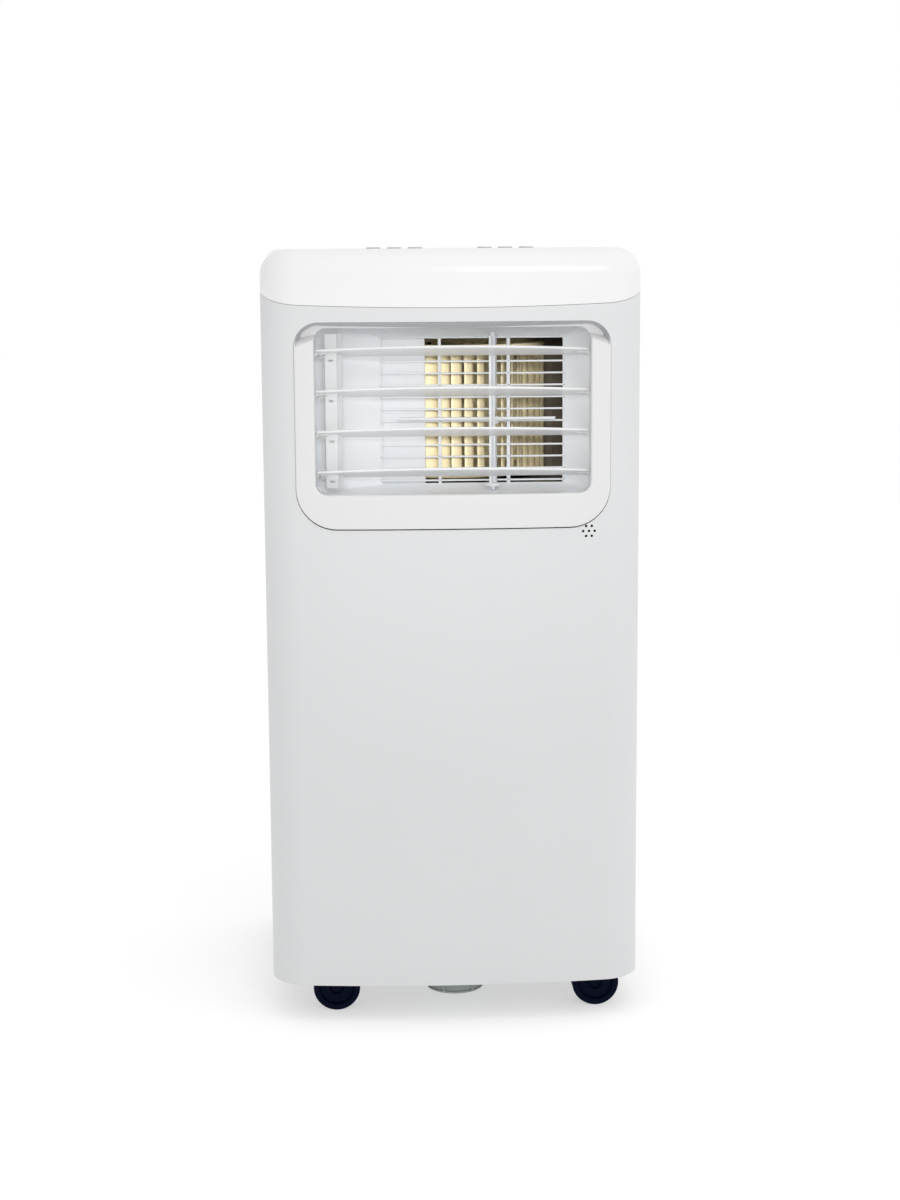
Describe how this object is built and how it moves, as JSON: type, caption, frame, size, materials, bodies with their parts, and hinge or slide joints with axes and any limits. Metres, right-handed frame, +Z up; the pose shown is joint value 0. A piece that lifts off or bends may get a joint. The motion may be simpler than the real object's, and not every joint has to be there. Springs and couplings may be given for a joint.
{
  "type": "portable air conditioner",
  "caption": "Upright white portable air conditioner on casters, with a louvred front outlet over a plain front panel, and inlet grilles and a round exhaust port behind.",
  "frame": {"origin": "on the floor under the middle of the cabinet", "axes": "+Z up, the front with the air outlet faces -Y, +X to the right of someone facing the front"},
  "size_m": [0.328, 0.31, 0.6802],
  "materials": {
    "gloss_white": "glossy moulded ABS, lightly rounded edges",
    "satin_white": "satin moulded ABS with a fine texture",
    "bezel_white": "semi-gloss white ABS",
    "duct_white": "matt white moulded duct",
    "button_grey": "soft grey button caps",
    "display_black": "smoked glossy display lens",
    "wheel_tan": "tan moulded fan plastic",
    "volute_brown": "dark foam-lined fan scroll",
    "motor_grey": "zinc-plated motor can",
    "coil_aluminium": "thin folded fins",
    "copper": "drawn copper pipe, slightly tarnished",
    "black_steel": "black baked enamel",
    "board_green": "solder-masked board",
    "box_steel": "galvanised folded sheet",
    "tray_foam": "off-white drip tray",
    "filter_grey": "dark grey frame and mesh",
    "caster_navy": "black nylon with a blue cast",
    "cap_grey": "dark grey-green plastic cap",
    "base_grey": "grey base moulding"
  },
  "bodies": {
    "housing": {"top_cover": "gloss_white", "front_panel": "satin_white", "rear_casing": "satin_white", "left_handle_cup": "satin_white", "right_handle_cup": "satin_white", "upper_inlet_grille": "satin_white", "lower_inlet_grille": "satin_white", "outlet_bezel": "bezel_white", "guard_grille": "bezel_white", "exhaust_collar": "bezel_white", "control_panel": "bezel_white", "outlet_duct": "duct_white", "outlet_baffle": "duct_white", "base_pan": "base_grey", "partition_tray": "tray_foam", "louvre_motor": "motor_grey", "blower_motor": "motor_grey", "condenser_motor": "motor_grey", "blower_volute": "volute_brown", "volute_cover": "volute_brown", "condenser_fan_housing": "volute_brown", "condenser_fan_cover": "volute_brown", "evaporator_coil": "coil_aluminium", "condenser_coil": "coil_aluminium", "compressor": "black_steel", "discharge_pipe": "copper", "suction_pipe": "copper", "capillary_tube": "copper", "display_window": "display_black", "control_board": "board_green", "room_sensor": "board_green", "electrical_box": "box_steel", "cord_gland": "cap_grey"},
    "louvre_1": {"louvre_1": "bezel_white"},
    "louvre_2": {"louvre_2": "bezel_white"},
    "louvre_3": {"louvre_3": "bezel_white"},
    "louvre_4": {"louvre_4": "bezel_white"},
    "louvre_link": {"louvre_link_bar": "bezel_white"},
    "vane": {"air_vane": "bezel_white"},
    "vane_rod": {"vane_slide_rod": "bezel_white"},
    "blower_rotor": {"blower_wheel": "wheel_tan"},
    "condenser_rotor": {"condenser_fan": "black_steel"},
    "upper_filter": {"upper_air_filter": "filter_grey"},
    "lower_filter": {"lower_air_filter": "filter_grey"},
    "drain_plug": {"drain_plug": "cap_grey"},
    "drain_cap": {"drain_cap": "cap_grey"},
    "power_button": {"power_button": "button_grey"},
    "mode_button": {"mode_button": "button_grey"},
    "timer_button": {"timer_button": "button_grey"},
    "temperature_down_button": {"temperature_down_button": "button_grey"},
    "temperature_up_button": {"temperature_up_button": "button_grey"},
    "fan_speed_button": {"fan_speed_button": "button_grey"},
    "caster_fork_front_left": {"caster_fork_front_left": "caster_navy"},
    "caster_wheel_front_left": {"caster_wheel_front_left": "caster_navy"},
    "caster_fork_front_right": {"caster_fork_front_right": "caster_navy"},
    "caster_wheel_front_right": {"caster_wheel_front_right": "caster_navy"},
    "caster_fork_rear_left": {"caster_fork_rear_left": "caster_navy"},
    "caster_wheel_rear_left": {"caster_wheel_rear_left": "caster_navy"},
    "caster_fork_rear_right": {"caster_fork_rear_right": "caster_navy"},
    "caster_wheel_rear_right": {"caster_wheel_rear_right": "caster_navy"}
  },
  "joints": [
    {"name": "louvre_1_tilt", "type": "hinge", "parent": "housing", "child": "louvre_1", "pos_m": [0, -0.131, 0.5914], "axis": [1, 0, 0], "range_deg": [-30, 50]},
    {"name": "louvre_2_tilt", "type": "hinge", "parent": "housing", "child": "louvre_2", "pos_m": [0, -0.131, 0.5567], "axis": [1, 0, 0], "range_deg": [-30, 50]},
    {"name": "louvre_3_tilt", "type": "hinge", "parent": "housing", "child": "louvre_3", "pos_m": [0, -0.131, 0.522], "axis": [1, 0, 0], "range_deg": [-30, 50]},
    {"name": "louvre_4_tilt", "type": "hinge", "parent": "housing", "child": "louvre_4", "pos_m": [0, -0.131, 0.4873], "axis": [1, 0, 0], "range_deg": [-30, 50]},
    {"name": "link_bar_pivot", "type": "hinge", "parent": "louvre_1", "child": "louvre_link", "pos_m": [-0.104, -0.125, 0.5879], "axis": [1, 0, 0], "range_deg": [-50, 30]},
    {"name": "vane_swing", "type": "hinge", "parent": "housing", "child": "vane", "pos_m": [0.036, -0.1125, 0.539], "axis": [0, 0, 1], "range_deg": [-8, 52]},
    {"name": "vane_rod_slide", "type": "slide", "parent": "housing", "child": "vane_rod", "axis": [1, 0, 0], "range_m": [-0.0086, 0.0013]},
    {"name": "blower_spin", "type": "hinge", "parent": "housing", "child": "blower_rotor", "pos_m": [0, 0.002, 0.5365], "axis": [0, 0, 1], "continuous": true},
    {"name": "condenser_fan_spin", "type": "hinge", "parent": "housing", "child": "condenser_rotor", "pos_m": [-0.045, 0.06, 0.165], "axis": [0, 1, 0], "continuous": true},
    {"name": "power_button_press", "type": "slide", "parent": "housing", "child": "power_button", "axis": [0, 0, -1], "range_m": [0, 0.001], "stiffness_N_per_m": 400},
    {"name": "mode_button_press", "type": "slide", "parent": "housing", "child": "mode_button", "axis": [0, 0, -1], "range_m": [0, 0.001], "stiffness_N_per_m": 400},
    {"name": "timer_button_press", "type": "slide", "parent": "housing", "child": "timer_button", "axis": [0, 0, -1], "range_m": [0, 0.001], "stiffness_N_per_m": 400},
    {"name": "temperature_down_button_press", "type": "slide", "parent": "housing", "child": "temperature_down_button", "axis": [0, 0, -1], "range_m": [0, 0.001], "stiffness_N_per_m": 400},
    {"name": "temperature_up_button_press", "type": "slide", "parent": "housing", "child": "temperature_up_button", "axis": [0, 0, -1], "range_m": [0, 0.001], "stiffness_N_per_m": 400},
    {"name": "fan_speed_button_press", "type": "slide", "parent": "housing", "child": "fan_speed_button", "axis": [0, 0, -1], "range_m": [0, 0.001], "stiffness_N_per_m": 400},
    {"name": "upper_filter_slide", "type": "slide", "parent": "housing", "child": "upper_filter", "axis": [1, 0, 0], "range_m": [0, 0.25]},
    {"name": "lower_filter_slide", "type": "slide", "parent": "housing", "child": "lower_filter", "axis": [1, 0, 0], "range_m": [0, 0.25]},
    {"name": "drain_plug_pull", "type": "slide", "parent": "housing", "child": "drain_plug", "axis": [0, 1, 0], "range_m": [0, 0.02]},
    {"name": "drain_cap_turn", "type": "hinge", "parent": "housing", "child": "drain_cap", "pos_m": [0, -0.1055, 0.035], "axis": [0, 0, -1], "range_deg": [0, 270]},
    {"name": "caster_front_left_swivel", "type": "hinge", "parent": "housing", "child": "caster_fork_front_left", "pos_m": [-0.117, -0.108, 0.045], "axis": [0, 0, 1], "continuous": true},
    {"name": "caster_front_left_roll", "type": "hinge", "parent": "caster_fork_front_left", "child": "caster_wheel_front_left", "pos_m": [-0.107, -0.108, 0.021], "axis": [0, 1, 0], "continuous": true},
    {"name": "caster_front_right_swivel", "type": "hinge", "parent": "housing", "child": "caster_fork_front_right", "pos_m": [0.117, -0.108, 0.045], "axis": [0, 0, 1], "continuous": true},
    {"name": "caster_front_right_roll", "type": "hinge", "parent": "caster_fork_front_right", "child": "caster_wheel_front_right", "pos_m": [0.127, -0.108, 0.021], "axis": [0, 1, 0], "continuous": true},
    {"name": "caster_rear_left_swivel", "type": "hinge", "parent": "housing", "child": "caster_fork_rear_left", "pos_m": [-0.117, 0.108, 0.045], "axis": [0, 0, 1], "continuous": true},
    {"name": "caster_rear_left_roll", "type": "hinge", "parent": "caster_fork_rear_left", "child": "caster_wheel_rear_left", "pos_m": [-0.107, 0.108, 0.021], "axis": [0, 1, 0], "continuous": true},
    {"name": "caster_rear_right_swivel", "type": "hinge", "parent": "housing", "child": "caster_fork_rear_right", "pos_m": [0.117, 0.108, 0.045], "axis": [0, 0, 1], "continuous": true},
    {"name": "caster_rear_right_roll", "type": "hinge", "parent": "caster_fork_rear_right", "child": "caster_wheel_rear_right", "pos_m": [0.127, 0.108, 0.021], "axis": [0, 1, 0], "continuous": true}
  ],
  "couplings": [
    {"joint": "louvre_2_tilt", "follows": "louvre_1_tilt", "ratio": 1},
    {"joint": "louvre_3_tilt", "follows": "louvre_1_tilt", "ratio": 1},
    {"joint": "louvre_4_tilt", "follows": "louvre_1_tilt", "ratio": 1},
    {"joint": "link_bar_pivot", "follows": "louvre_1_tilt", "ratio": -1},
    {"joint": "vane_swing", "follows": "vane_rod_slide", "rad_per_m": -104.72}
  ]
}
